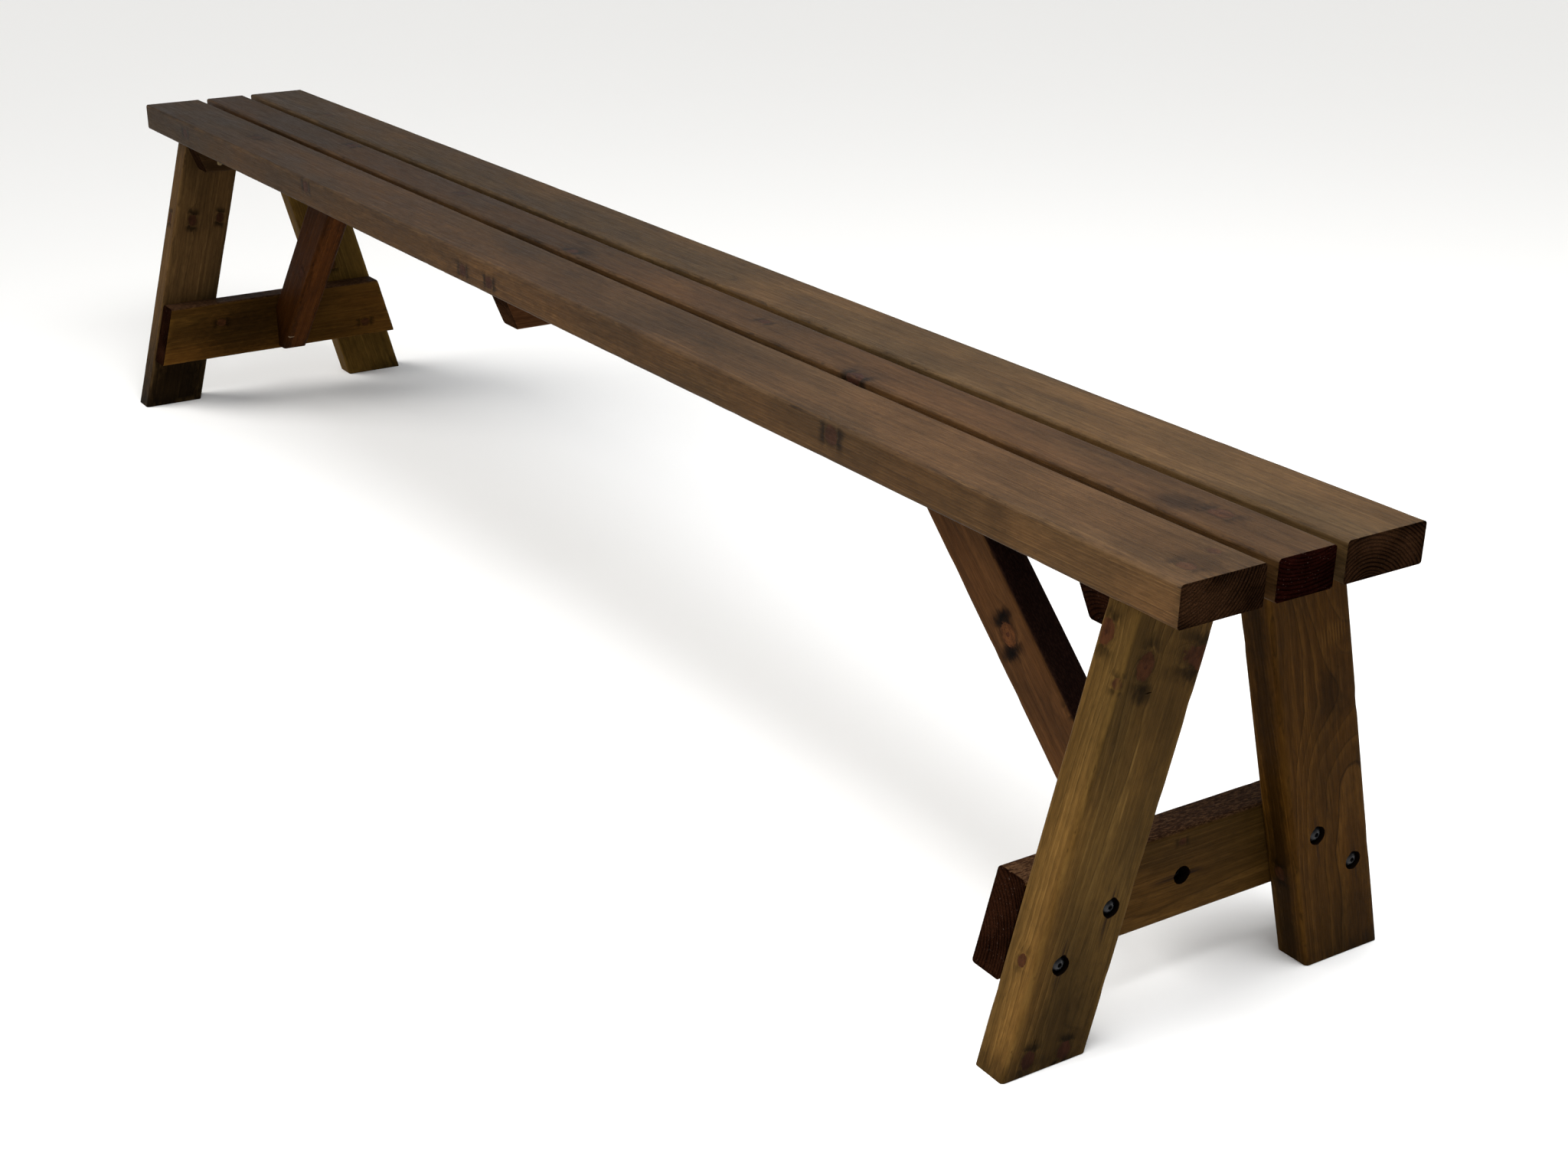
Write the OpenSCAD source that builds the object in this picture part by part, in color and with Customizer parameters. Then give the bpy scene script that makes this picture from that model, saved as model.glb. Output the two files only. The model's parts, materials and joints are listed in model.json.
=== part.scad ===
// Rigid garden bench: three long planks on two splayed A-shaped leg frames,
// each frame steadied by a diagonal brace that runs up under the seat.
//
// Axes: X along the seat, Y across it, Z up. The origin is on the floor under the
// middle of the seat. Everything is in millimetres.

/* [Seat] */

// Length of the planks
seat_length = 2400; // [1800:10:3000]

// Height of the sitting surface above the floor
seat_height = 456; // [380:1:560]

// Width of each of the two outer planks
outer_plank_width = 89; // [80:1:120]

// Width of the middle plank
middle_plank_width = 63; // [50:1:90]

// Space between neighbouring planks
plank_gap = 12; // [6:1:20]

/* [Timber] */

// Thickness of every board
board_thickness = 38; // [32:1:46]

// Width of the legs and stretchers
frame_board_width = 89; // [74:1:108]

// Radius of the rounded long edges
edge_radius = 3; // [1:0.5:6]

/* [Leg frames] */

// Plank overhang beyond the right frame
overhang_right = 62; // [40:1:300]

// Plank overhang beyond the left frame
overhang_left = 84; // [40:1:300]

// Outward slope of each leg from upright, degrees
leg_splay = 15; // [8:0.5:20]

// Width across the outsides of a pair of legs where they meet the seat
leg_top_spread = 223; // [200:1:270]

// Height of the stretcher's underside
stretcher_height = 75; // [50:1:140]

// Distance the stretcher ends stop short of the legs' outer edges
stretcher_end_inset = 2; // [0:0.5:10]

/* [Bearers] */

// Depth of the bearers and the middle batten, top to bottom
bearer_depth = 47; // [40:1:60]

// Distance each bearer runs past the outer edge of a leg top
bearer_overrun = 4.5; // [0:0.5:12]

// Undercut angle of the bearer ends from upright, degrees
bearer_end_angle = 22; // [0:1:30]

/* [Braces] */

// Depth of the braces, square to their length
brace_depth = 63; // [50:1:76]

// Slope of the right brace from level, degrees
brace_right_slope = 43; // [38:0.5:55]

// Slope of the left brace from level, degrees
brace_left_slope = 48; // [38:0.5:55]

// Height of the right brace's upper edge at the stretcher, above the stretcher's underside
brace_right_heel = 54; // [50:1:75]

// Height of the left brace's upper edge at the stretcher, above the stretcher's underside
brace_left_heel = 72; // [50:1:80]

// Sideways position of the right brace's centre line
brace_right_shift = 0; // [-15:1:15]

// Sideways position of the left brace's centre line
brace_left_shift = 15; // [-15:1:15]

// Height of the brace foot's level cut above the stretcher's underside
brace_foot_rise = 5; // [0:1:15]

/* [Frame screws] */

// Diameter of the domed screw heads
dome_diameter = 16; // [14:0.5:18]

// Height of the domed screw heads
dome_height = 5; // [3:0.5:7]

// Diameter of the frame screws' shanks
frame_screw_diameter = 8; // [6:0.5:10]

// Length of the frame screws under the head
frame_screw_length = 60; // [50:1:64]

// Length of the brace foot screws under the head
foot_screw_length = 65; // [50:1:75]

// Depth of the sunk holes for the frame screws
frame_sink = 6; // [4:0.5:12]

// Depth of the sunk holes for the brace foot screws
foot_sink = 12; // [6:0.5:16]

// Space around a domed head in its sunk hole
sink_clearance = 1; // [0.5:0.5:3]

// Half the sideways distance between the two screws of a leg
leg_screw_step_y = 25.5; // [15:0.5:30]

// Half the height difference between the two screws of a leg
leg_screw_step_z = 20; // [10:0.5:28]

// Sideways offset of the screw pattern from the middle of the frame
frame_screw_shift = 3.5; // [-6:0.5:6]

// Height of the brace foot screws above the stretcher's underside
foot_screw_rise = 43; // [30:1:50]

/* [Wood screws] */

// Diameter of the wood screws
wood_screw_diameter = 5; // [4:0.5:6]

// Diameter of the wood screws' countersunk heads
wood_head_diameter = 9.5; // [8:0.5:12]

// Length of the screws that go up through the bearers into the planks
seat_screw_length = 70; // [60:1:80]

// Length of the screws that go through the bearers into the leg tops
leg_top_screw_length = 60; // [50:1:70]

// Length of the screws that go up through the brace tops into the seat
brace_top_screw_length = 50; // [40:1:60]

// Distance of a bearer screw from the middle line of the leg top
seat_screw_step = 17; // [14:0.5:20]

// Gap all round a screw in its hole
screw_clearance = 0.1; // [0:0.05:0.3]

/* [Hidden] */

$fn = 48;

// How far cutting shapes run past the surface they cut.
beyond = 1;

// Length of the pointed end of a screw, as a share of its diameter.
tip_share = 1.2;

// Depth and width of the six-sided socket in a domed head.
dome_socket_depth = 2.5;
dome_socket_width = 5;

// Depth and width of the drive recess in a countersunk head.
wood_socket_depth = 2;
wood_socket_width = 3.4;

// Depth of a countersunk head and how far it lies under the surface.
wood_head_depth = 3;
wood_head_sink = 0.5;

// Solid timber left beyond the edge of the middle plank's screws.
middle_screw_margin = 13.5;

// Height of the upper and lower leg top screws above the bearer's underside,
// as shares of the bearer's depth.
leg_top_screw_low = 0.3;
leg_top_screw_high = 0.7;

// How far inboard of its sharp tip each brace is screwed to the seat.
brace_screw_setback = 38;

// Timber between the sloping face of a brace and the seat of its top screw.
brace_pocket_depth = 10;

// Space around the head in the pocket under a brace top.
pocket_clearance = 1;

seat_width = 2 * outer_plank_width + middle_plank_width + 2 * plank_gap;
underside = seat_height - board_thickness;
outer_plank_y = middle_plank_width / 2 + plank_gap + outer_plank_width / 2;

right_face = seat_length / 2 - overhang_right;
left_face = seat_length / 2 - overhang_left;

// Positions inside one frame, measured inwards from the legs' outer faces.
leg_inner_x = -board_thickness;
cross_mid_x = -1.5 * board_thickness;
cross_inner_x = -2 * board_thickness;

leg_half_level = frame_board_width / 2 / cos(leg_splay);
bearer_underside = underside - bearer_depth;
bearer_half_top = leg_top_spread / 2 + bearer_overrun;
bearer_half_bottom = bearer_half_top - bearer_depth * tan(bearer_end_angle);
leg_top_mid_y = leg_mid_y(underside - bearer_depth / 2);

stretcher_mid_z = stretcher_height + frame_board_width / 2;
foot_screw_z = stretcher_height + foot_screw_rise;
foot_cut_z = stretcher_height + brace_foot_rise;

frame_hole_radius = frame_screw_diameter / 2 + screw_clearance;
frame_sink_radius = dome_diameter / 2 + sink_clearance;
wood_hole_radius = wood_screw_diameter / 2 + screw_clearance;

// The batten stands midway between the two leg frames.
batten_x = (right_face - left_face) / 2;

// Screw lines in the frames, as distances along the seat from the middle.
right_bearer_x = right_face + cross_mid_x;
left_bearer_x = -(left_face + cross_mid_x);

// Middle line of a leg, as a distance from the middle of the frame.
function leg_mid_y(z) = leg_top_spread / 2 + (underside - z) * tan(leg_splay) - leg_half_level;

// Horizontal run of a brace from the stretcher's inner face to where its lower,
// sloping face reaches the seat.
function brace_run(slope, heel) =
    (underside - stretcher_height - heel) / tan(slope) + brace_depth / sin(slope);

// Height of a brace's sloping lower face at a distance from the stretcher.
function brace_low_z(slope, heel, run) =
    stretcher_height + heel + run * tan(slope) - brace_depth / cos(slope);

// Distance from the stretcher's inner face to a brace's top screw.
function brace_screw_run(slope, heel) = brace_run(slope, heel) - brace_screw_setback;

// Height of the seat for the head of a brace's top screw.
function brace_seat_z(slope, heel) =
    brace_low_z(slope, heel, brace_screw_run(slope, heel)) + brace_pocket_depth;

// Crossways positions of the screws along one bearer.
function seat_screw_rows() = [
    for (side = [-1, 1]) side * (leg_top_mid_y + seat_screw_step),
    for (side = [-1, 1]) side * (leg_top_mid_y - seat_screw_step),
    for (side = [-1, 1]) side * (middle_plank_width / 2 - middle_screw_margin)
];

wood_color = [0.27, 0.17, 0.11];
frame_color = [0.33, 0.23, 0.13];
black_steel = [0.06, 0.06, 0.07];
zinc_steel = [0.72, 0.66, 0.45];

// Which sub-part to draw

// ---- Sections and screws ----

// Rounded cross-section of a board.
module board_section(width, thickness) {
    inner_w = width - 2 * edge_radius;
    inner_t = thickness - 2 * edge_radius;
    square([width, inner_t], center = true);
    square([inner_w, thickness], center = true);
    for (side_x = [-1, 1])
        for (side_y = [-1, 1])
            translate([side_x * inner_w / 2, side_y * inner_t / 2])
                circle(r = edge_radius);
}

// Board lying along X, its width across Y.
module board_x(length, width) {
    rotate([90, 0, 90])
        linear_extrude(height = length, center = true)
            board_section(width, board_thickness);
}

// Board lying along Y, its depth upright and its thickness along X.
module board_y(length, depth) {
    rotate([90, 0, 0])
        linear_extrude(height = length, center = true)
            board_section(board_thickness, depth);
}

// Screw shank with a pointed end, from the origin along +Z.
module shank(diameter, length) {
    tip = diameter * tip_share;
    cylinder(d = diameter, h = length - tip);
    translate([0, 0, length - tip])
        cylinder(d1 = diameter, d2 = diameter / 5, h = tip);
}

// Domed screw with its head seated on the origin and its shank along +Z.
module dome_screw(length) {
    curve = (pow(dome_diameter / 2, 2) + pow(dome_height, 2)) / (2 * dome_height);
    difference() {
        union() {
            shank(frame_screw_diameter, length);
            intersection() {
                translate([0, 0, curve - dome_height])
                    sphere(r = curve);
                translate([0, 0, -dome_height])
                    cylinder(d = dome_diameter, h = dome_height);
            }
        }
        translate([0, 0, -dome_height - beyond])
            cylinder(d = dome_socket_width, h = dome_socket_depth + beyond, $fn = 6);
    }
}

// Countersunk wood screw with the top of its head on the origin and its shank along +Z.
module wood_screw(length) {
    difference() {
        union() {
            shank(wood_screw_diameter, length);
            cylinder(d1 = wood_head_diameter, d2 = wood_screw_diameter, h = wood_head_depth);
        }
        translate([0, 0, -beyond])
            cylinder(d = wood_socket_width, h = wood_socket_depth + beyond, $fn = 6);
    }
}

// Hole for a wood screw placed the same way.
module wood_screw_hole(length) {
    cylinder(r = wood_hole_radius, h = length + screw_clearance);
    cylinder(d1 = wood_head_diameter, d2 = wood_screw_diameter, h = wood_head_depth);
    translate([0, 0, -wood_head_sink - beyond])
        cylinder(d = wood_head_diameter, h = wood_head_sink + beyond);
}

// ---- Placing ----

// Moves children from a frame's own position to the right-hand frame.
module at_right() {
    translate([right_face, 0, 0])
        children();
}

// Turns children round to the left-hand frame.
module at_left() {
    translate([-left_face, 0, 0])
        rotate([0, 0, 180])
            children();
}

// Puts children at both screws of one leg, pointing inwards from the outer face.
module each_leg_screw(side) {
    mid_y = side * leg_mid_y(stretcher_mid_z) + frame_screw_shift;
    for (step = [-1, 1])
        translate([-frame_sink, mid_y + step * side * leg_screw_step_y,
                   stretcher_mid_z - step * leg_screw_step_z])
            rotate([0, -90, 0])
                children();
}

// Puts children at the two screws of one leg top, pointing outwards.
module each_leg_top_screw(side) {
    for (share = [leg_top_screw_low, leg_top_screw_high]) {
        z = bearer_underside + share * bearer_depth;
        translate([cross_inner_x + wood_head_sink, side * leg_mid_y(z), z])
            rotate([0, 90, 0])
                children();
    }
}

// Puts children at every upright screw of one bearer.
module each_seat_screw(x) {
    for (y = seat_screw_rows())
        translate([x, y, bearer_underside + wood_head_sink])
            children();
}

// Puts children at the foot screw of a brace, pointing inwards.
module at_foot_screw(shift) {
    translate([leg_inner_x - foot_sink, shift, foot_screw_z])
        rotate([0, -90, 0])
            children();
}

// Puts children at the top screw of a brace, pointing up.
module at_brace_top_screw(slope, heel, shift) {
    translate([cross_inner_x - brace_screw_run(slope, heel), shift, brace_seat_z(slope, heel)])
        children();
}

// Holes of the frame screws through a leg or into a stretcher.
module frame_screw_holes(side) {
    each_leg_screw(side) {
        union() {
            cylinder(r = frame_hole_radius, h = frame_screw_length + screw_clearance);
            translate([0, 0, -frame_sink - beyond])
                cylinder(r = frame_sink_radius, h = frame_sink + beyond);
        }
    }
}

// Hole of a brace foot screw through the stretcher and into the brace.
module foot_screw_hole(shift) {
    at_foot_screw(shift) {
        union() {
            cylinder(r = frame_hole_radius, h = foot_screw_length + screw_clearance);
            translate([0, 0, -foot_sink - beyond])
                cylinder(r = frame_sink_radius, h = foot_sink + beyond);
        }
    }
}

// Hole of a brace top screw, with the pocket that sinks its head.
module brace_top_hole(slope, heel, shift) {
    at_brace_top_screw(slope, heel, shift) {
        union() {
            wood_screw_hole(brace_top_screw_length);
            translate([0, 0, -2 * brace_pocket_depth])
                cylinder(d = wood_head_diameter + 2 * pocket_clearance, h = 2 * brace_pocket_depth);
        }
    }
}

// Screw holes under one bearer line, cut from the planks and the bearer.
module seat_screw_holes(x) {
    each_seat_screw(x)
        wood_screw_hole(seat_screw_length);
}

// ---- Boards ----

// One seat plank with the screw holes in its underside.
module plank(width, y) {
    difference() {
        translate([0, y, underside + board_thickness / 2])
            board_x(seat_length, width);
        for (x = [right_bearer_x, left_bearer_x, batten_x])
            seat_screw_holes(x);
        at_right()
            brace_top_hole(brace_right_slope, brace_right_heel, brace_right_shift);
        at_left()
            brace_top_hole(brace_left_slope, brace_left_heel, -brace_left_shift);
    }
}

// One leg in its frame's own position: outer face at x = 0, cut level top and bottom.
module leg(side) {
    reach = seat_height * 2;
    difference() {
        intersection() {
            translate([leg_inner_x / 2, side * leg_mid_y(underside / 2), underside / 2])
                rotate([side * leg_splay, 0, 0])
                    linear_extrude(height = reach, center = true)
                        board_section(board_thickness, frame_board_width);
            translate([-board_thickness - beyond, -reach, 0])
                cube([board_thickness + 2 * beyond, 2 * reach, underside]);
        }
        frame_screw_holes(side);
        each_leg_top_screw(side)
            wood_screw_hole(leg_top_screw_length);
    }
}

// Cross member with undercut ends, on the legs' inner faces under the planks.
module bearer() {
    intersection() {
        translate([cross_mid_x, 0, underside - bearer_depth / 2])
            board_y(2 * bearer_half_top + 2 * beyond, bearer_depth);
        translate([cross_mid_x, 0, 0])
            rotate([90, 0, 90])
                linear_extrude(height = 2 * board_thickness, center = true)
                    polygon([
                        [-bearer_half_top, underside],
                        [-bearer_half_bottom, bearer_underside],
                        [bearer_half_bottom, bearer_underside],
                        [bearer_half_top, underside]
                    ]);
    }
}

// Bearer with the holes for its upright and level screws.
module drilled_bearer() {
    difference() {
        bearer();
        seat_screw_holes(cross_mid_x);
        for (side = [-1, 1])
            each_leg_top_screw(side)
                wood_screw_hole(leg_top_screw_length);
    }
}

// Low cross member on the legs' inner faces, its ends sloped to follow the legs.
module stretcher(brace_shift) {
    low_half = leg_mid_y(stretcher_height) + leg_half_level - stretcher_end_inset;
    high_half = low_half - frame_board_width * tan(leg_splay);
    high_z = stretcher_height + frame_board_width;
    difference() {
        intersection() {
            translate([cross_mid_x, 0, stretcher_mid_z])
                board_y(2 * low_half + 2 * beyond, frame_board_width);
            translate([cross_mid_x, 0, 0])
                rotate([90, 0, 90])
                    linear_extrude(height = 2 * board_thickness, center = true)
                        polygon([
                            [-low_half, stretcher_height],
                            [low_half, stretcher_height],
                            [high_half, high_z],
                            [-high_half, high_z]
                        ]);
        }
        for (side = [-1, 1])
            frame_screw_holes(side);
        foot_screw_hole(brace_shift);
    }
}

// Diagonal brace: upright cut against the stretcher, level cuts at its foot and the seat.
module brace(slope, heel, shift) {
    run = brace_run(slope, heel);
    drop = brace_depth / 2 / cos(slope);
    difference() {
        intersection() {
            translate([cross_inner_x, shift, stretcher_height + heel - drop])
                rotate([0, slope - 90, 0])
                    linear_extrude(height = 3 * run, center = true)
                        board_section(brace_depth, board_thickness);
            translate([cross_inner_x - run - beyond, shift - board_thickness, foot_cut_z])
                cube([run + beyond, 2 * board_thickness, underside - foot_cut_z]);
        }
        foot_screw_hole(shift);
        brace_top_hole(slope, heel, shift);
    }
}

// ---- Sub-parts ----

module seat_plank_front() {
    color(wood_color)
        plank(outer_plank_width, -outer_plank_y);
}

module seat_plank_middle() {
    color(wood_color)
        plank(middle_plank_width, 0);
}

module seat_plank_back() {
    color(wood_color)
        plank(outer_plank_width, outer_plank_y);
}

module leg_right_front() {
    color(frame_color)
        at_right()
            leg(-1);
}

module leg_right_back() {
    color(frame_color)
        at_right()
            leg(1);
}

module leg_left_front() {
    color(frame_color)
        at_left()
            leg(1);
}

module leg_left_back() {
    color(frame_color)
        at_left()
            leg(-1);
}

module bearer_right() {
    color(frame_color)
        at_right()
            drilled_bearer();
}

module bearer_left() {
    color(frame_color)
        at_left()
            drilled_bearer();
}

module batten_middle() {
    color(frame_color)
        difference() {
            translate([batten_x - cross_mid_x, 0, 0])
                bearer();
            seat_screw_holes(batten_x);
        }
}

module stretcher_right() {
    color(frame_color)
        at_right()
            stretcher(brace_right_shift);
}

module stretcher_left() {
    color(frame_color)
        at_left()
            stretcher(-brace_left_shift);
}

module brace_right() {
    color(frame_color)
        at_right()
            brace(brace_right_slope, brace_right_heel, brace_right_shift);
}

module brace_left() {
    color(frame_color)
        at_left()
            brace(brace_left_slope, brace_left_heel, -brace_left_shift);
}

module frame_screws_right_front() {
    color(black_steel)
        at_right()
            each_leg_screw(-1)
                dome_screw(frame_screw_length);
}

module frame_screws_right_back() {
    color(black_steel)
        at_right()
            each_leg_screw(1)
                dome_screw(frame_screw_length);
}

module frame_screws_left_front() {
    color(black_steel)
        at_left()
            each_leg_screw(1)
                dome_screw(frame_screw_length);
}

module frame_screws_left_back() {
    color(black_steel)
        at_left()
            each_leg_screw(-1)
                dome_screw(frame_screw_length);
}

module foot_screw_right() {
    color(black_steel)
        at_right()
            at_foot_screw(brace_right_shift)
                dome_screw(foot_screw_length);
}

module foot_screw_left() {
    color(black_steel)
        at_left()
            at_foot_screw(-brace_left_shift)
                dome_screw(foot_screw_length);
}

module seat_screws_right() {
    color(zinc_steel)
        each_seat_screw(right_bearer_x)
            wood_screw(seat_screw_length);
}

module seat_screws_left() {
    color(zinc_steel)
        each_seat_screw(left_bearer_x)
            wood_screw(seat_screw_length);
}

module seat_screws_middle() {
    color(zinc_steel)
        each_seat_screw(batten_x)
            wood_screw(seat_screw_length);
}

module leg_top_screws_right() {
    color(zinc_steel)
        at_right()
            for (side = [-1, 1])
                each_leg_top_screw(side)
                    wood_screw(leg_top_screw_length);
}

module leg_top_screws_left() {
    color(zinc_steel)
        at_left()
            for (side = [-1, 1])
                each_leg_top_screw(side)
                    wood_screw(leg_top_screw_length);
}

module brace_top_screw_right() {
    color(zinc_steel)
        at_right()
            at_brace_top_screw(brace_right_slope, brace_right_heel, brace_right_shift)
                wood_screw(brace_top_screw_length);
}

module brace_top_screw_left() {
    color(zinc_steel)
        at_left()
            at_brace_top_screw(brace_left_slope, brace_left_heel, -brace_left_shift)
                wood_screw(brace_top_screw_length);
}

// ---- Assembly ----

seat_plank_front();
seat_plank_middle();
seat_plank_back();
leg_right_front();
leg_right_back();
leg_left_front();
leg_left_back();
bearer_right();
bearer_left();
batten_middle();
stretcher_right();
stretcher_left();
brace_right();
brace_left();
frame_screws_right_front();
frame_screws_right_back();
frame_screws_left_front();
frame_screws_left_back();
foot_screw_right();
foot_screw_left();
seat_screws_right();
seat_screws_left();
seat_screws_middle();
leg_top_screws_right();
leg_top_screws_left();
brace_top_screw_right();
brace_top_screw_left();
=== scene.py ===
import json
import math

import bmesh
import bpy
import numpy as np
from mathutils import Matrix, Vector

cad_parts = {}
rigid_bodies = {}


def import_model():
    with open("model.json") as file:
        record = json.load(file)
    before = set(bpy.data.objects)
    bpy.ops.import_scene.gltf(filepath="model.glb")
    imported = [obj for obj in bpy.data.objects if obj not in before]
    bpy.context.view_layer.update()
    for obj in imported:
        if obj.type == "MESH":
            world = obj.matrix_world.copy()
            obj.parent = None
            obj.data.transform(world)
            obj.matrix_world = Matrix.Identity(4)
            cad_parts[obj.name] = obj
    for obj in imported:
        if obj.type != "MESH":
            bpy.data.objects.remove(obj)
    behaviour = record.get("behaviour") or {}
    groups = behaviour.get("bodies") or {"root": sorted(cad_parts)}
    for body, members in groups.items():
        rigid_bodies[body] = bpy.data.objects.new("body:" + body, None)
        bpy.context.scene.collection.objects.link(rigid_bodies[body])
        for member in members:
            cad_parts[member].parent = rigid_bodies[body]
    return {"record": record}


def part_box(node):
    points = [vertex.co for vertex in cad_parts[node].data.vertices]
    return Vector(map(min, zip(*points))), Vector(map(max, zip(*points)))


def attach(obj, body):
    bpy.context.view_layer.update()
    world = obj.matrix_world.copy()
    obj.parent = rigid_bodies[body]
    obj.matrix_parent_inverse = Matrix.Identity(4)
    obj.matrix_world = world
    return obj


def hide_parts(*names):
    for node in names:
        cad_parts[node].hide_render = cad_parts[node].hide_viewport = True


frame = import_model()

# Lengths below are in millimetres and in each board's own axes: u along the grain, v across its
# width, w through its thickness. MM turns them into Blender's metres.
MM = 0.001
SEAT_PLANKS = ("seat_plank_front", "seat_plank_middle", "seat_plank_back")
# The radius of the long edges. The frame's look softer in the photo.
SEAT_EDGE = 3.0
FRAME_EDGE = 3.9
LEG_SPLAY = math.radians(15)
BRACE_DEPTH = 63.0
BRACE_SLOPES = {"brace_right": math.radians(43), "brace_left": math.radians(48)}
BEARER_END_ANGLE = math.radians(22)
# Screws, and the room that their holes leave.
DOME_HEIGHT, DOME_RADIUS, SHANK_RADIUS = 5.0, 8.0, 4.0
HEAD_RADIUS, HEAD_DEPTH, WOOD_RADIUS, HEAD_SINK = 4.75, 3.0, 2.5, 0.5
SCREW_GAP = 0.1
DOME_ROOM = 1.0
TORN_ROOM = 1.1
TEAR_DEPTH = 2.4
BRACE_POCKET = 20.0
OVERSHOOT = 3
# How finely the meshes are made.
HOLE_SIDES = 36
WOOD_SCREW_SIDES = 24
CORNER_STEPS = 6
RING_STEP = 9
END_EASE = 0.7
# A face deeper in the board than SKIN, or on a wall within MOUTH_REACH of a sunk screw, is a hole's.
SKIN = 1.9
MOUTH_REACH = 14
# What melts together after the hole cutting.
SLIVER = 0.002
# The spacing of a knot's own rings, and the depth (m) and strength of the wood's bump.
KNOT_RING = 1.9
WOOD_BUMP = (0.0005, 0.75)

# Metres and degrees, from fitting the board edges in the photo.
CAMERA_PLACE = (2.3121, -1.2306, 1.0760)
CAMERA_TURN = (64.807, 0.188, 58.593)
CAMERA_LENS = 50.16
CAMERA_SHIFT = (0.0518, 0.0728)
FLOOR_REACH = 80

BARE_WOOD = (0.20, 0.15, 0.095)
BLACK_STAIN = (0.008, 0.004, 0.003)
# The grey of the painted sky sheen added to the seat's upper face.
PAINTED_SHEEN_GREY = (0.091, 0.082, 0.079)
# Hole walls: pooled stain with painted shade in the recess.
HOLE_STAIN_AND_SHADE = (0.0040, 0.0022, 0.0016)
SAWN_COLOURS = ((0.018, 0.0075, 0.0035), (0.066, 0.034, 0.016))
END_COLOURS = ((0.0170, 0.0076, 0.0034), (0.0016, 0.0006, 0.0004))

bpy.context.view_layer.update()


# ---- small helpers ----

def vec(*values):
    return np.array(values, float)


def smooth_noise(seed, points, step):
    """Seeded one-dimensional noise, from -1 to 1, sampled at points (mm) with features about step long."""
    knots = np.random.default_rng(seed).uniform(-1, 1, 4096)
    at = np.asarray(points, float) / step + 1000.0
    low = np.floor(at).astype(int)
    part = at - low
    part = part * part * (3 - 2 * part)
    return knots[low % 4096] * (1 - part) + knots[(low + 1) % 4096] * part


def node_box(name):
    low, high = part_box(name)
    return vec(*low) / MM, vec(*high) / MM


def node_object(name):
    return next(o for o in bpy.data.objects if o.type == "MESH" and o.name == name)


def placed(name, data):
    """A new object that holds data, linked to the scene."""
    item = bpy.data.objects.new(name, data)
    bpy.context.scene.collection.objects.link(item)
    return item


def islands(name):
    """Boxes, in millimetres, of the separate solids of a CAD node."""
    mesh = node_object(name).data
    count = len(mesh.vertices)
    places = np.empty(count * 3)
    mesh.vertices.foreach_get("co", places)
    places = places.reshape(-1, 3) / MM
    keys = {}
    owner = np.empty(count, int)
    for i, p in enumerate(np.round(places, 2)):
        owner[i] = keys.setdefault(tuple(p), len(keys))
    parent = list(range(len(keys)))

    def root(i):
        while parent[i] != i:
            parent[i] = parent[parent[i]]
            i = parent[i]
        return i

    for edge in mesh.edges:
        a, b = root(owner[edge.vertices[0]]), root(owner[edge.vertices[1]])
        if a != b:
            parent[a] = b
    groups = {}
    for i in range(count):
        groups.setdefault(root(owner[i]), []).append(i)
    boxes = [(places[g].min(0), places[g].max(0)) for g in groups.values()]
    return sorted(boxes, key=lambda b: tuple(b[0].round(1)))


# ---- node trees ----

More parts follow.
